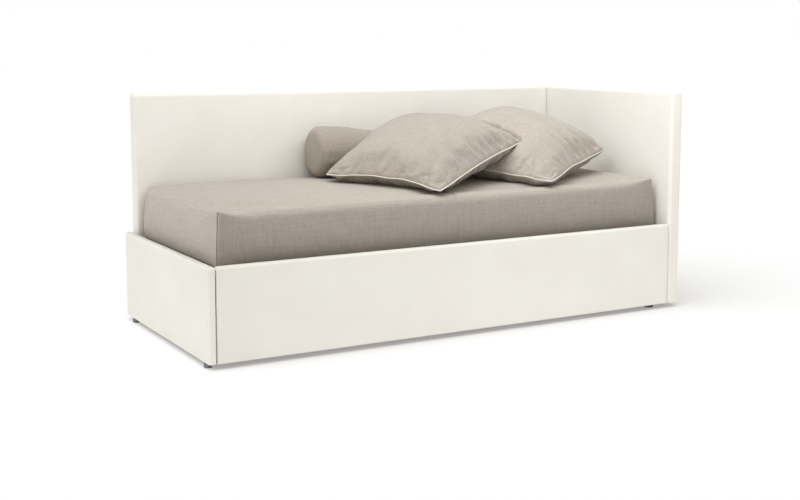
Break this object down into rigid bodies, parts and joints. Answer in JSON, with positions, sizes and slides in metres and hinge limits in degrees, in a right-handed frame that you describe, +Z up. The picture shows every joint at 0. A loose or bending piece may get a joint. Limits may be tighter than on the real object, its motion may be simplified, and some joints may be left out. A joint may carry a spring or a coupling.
{
  "type": "sofa bed",
  "caption": "Corner day bed with padded leatherette panels, a slatted base and a linen mattress, and a second slatted bed on casters that rolls out with the front panel.",
  "frame": {"origin": "middle of the bed's footprint, on the floor", "axes": "+X along the bed towards the headboard, +Y from the open long side towards the back panel, +Z up"},
  "size_m": [2.128, 0.935, 0.92],
  "materials": {
    "leatherette": "matte",
    "linen": "matte",
    "ticking": "matte",
    "board": "matte",
    "foam": "matte",
    "beech": "satin",
    "frame_steel": "satin",
    "zinc_steel": "satin",
    "black_plastic": "matte",
    "rubber": "matte",
    "nylon": "matte"
  },
  "bodies": {
    "bed": {"foot_panel_board": "board", "foot_panel_padding": "foam", "foot_panel_cover": "leatherette", "headboard_board": "board", "headboard_padding": "foam", "headboard_cover": "leatherette", "back_panel_board": "board", "back_panel_padding": "foam", "back_panel_cover": "leatherette", "headboard_flap": "leatherette", "foot_brackets": "frame_steel", "head_brackets": "frame_steel", "back_brackets": "frame_steel", "corner_brackets": "frame_steel", "foot_panel_feet": "black_plastic", "main_slats": "beech", "main_front_slat_holders": "black_plastic", "main_back_slat_holders": "black_plastic", "main_front_rail": "frame_steel", "main_back_rail": "frame_steel", "main_foot_rail": "frame_steel", "main_head_rail": "frame_steel", "main_cross_rails": "frame_steel", "main_rail_caps": "black_plastic", "head_legs": "frame_steel", "leg_glides": "black_plastic", "main_mattress": "linen"},
    "trundle": {"front_panel_board": "board", "front_panel_padding": "foam", "front_panel_cover": "leatherette", "front_panel_brackets": "frame_steel", "trundle_slats": "beech", "trundle_front_slat_holders": "black_plastic", "trundle_back_slat_holders": "black_plastic", "trundle_front_rail": "frame_steel", "trundle_back_rail": "frame_steel", "trundle_foot_rail": "frame_steel", "trundle_head_rail": "frame_steel", "trundle_cross_rails": "frame_steel", "trundle_rail_caps": "black_plastic", "trundle_buffers": "rubber", "caster_forks": "zinc_steel", "caster_axles": "zinc_steel", "trundle_mattress": "ticking"},
    "wheel_front_foot": {"wheel_front_foot": "nylon"},
    "wheel_front_head": {"wheel_front_head": "nylon"},
    "wheel_back_foot": {"wheel_back_foot": "nylon"},
    "wheel_back_head": {"wheel_back_head": "nylon"},
    "bolster": {"bolster": "linen"},
    "corner_cushion": {"corner_cushion": "linen"},
    "front_cushion": {"front_cushion": "linen"}
  },
  "joints": [
    {"name": "trundle_slide", "type": "slide", "parent": "bed", "child": "trundle", "axis": [0, -1, 0], "range_m": [0, 0.8]},
    {"name": "wheel_front_foot_spin", "type": "hinge", "parent": "trundle", "child": "wheel_front_foot", "pos_m": [-0.984, -0.3475, 0.025], "axis": [1, 0, 0], "continuous": true},
    {"name": "wheel_front_head_spin", "type": "hinge", "parent": "trundle", "child": "wheel_front_head", "pos_m": [0.876, -0.3475, 0.025], "axis": [1, 0, 0], "continuous": true},
    {"name": "wheel_back_foot_spin", "type": "hinge", "parent": "trundle", "child": "wheel_back_foot", "pos_m": [-0.984, 0.2925, 0.025], "axis": [1, 0, 0], "continuous": true},
    {"name": "wheel_back_head_spin", "type": "hinge", "parent": "trundle", "child": "wheel_back_head", "pos_m": [0.876, 0.2925, 0.025], "axis": [1, 0, 0], "continuous": true},
    {"name": "bolster_slide", "type": "slide", "parent": "bed", "child": "bolster", "axis": [-1, 0, 0], "range_m": [0, 0.6]},
    {"name": "corner_cushion_lift", "type": "slide", "parent": "bed", "child": "corner_cushion", "axis": [0, 0, 1], "range_m": [0, 0.35]},
    {"name": "front_cushion_lift", "type": "slide", "parent": "corner_cushion", "child": "front_cushion", "axis": [0, 0, 1], "range_m": [0, 0.3]}
  ],
  "couplings": [
    {"joint": "wheel_front_foot_spin", "follows": "trundle_slide", "rad_per_m": 40},
    {"joint": "wheel_front_head_spin", "follows": "trundle_slide", "rad_per_m": 40},
    {"joint": "wheel_back_foot_spin", "follows": "trundle_slide", "rad_per_m": 40},
    {"joint": "wheel_back_head_spin", "follows": "trundle_slide", "rad_per_m": 40}
  ]
}
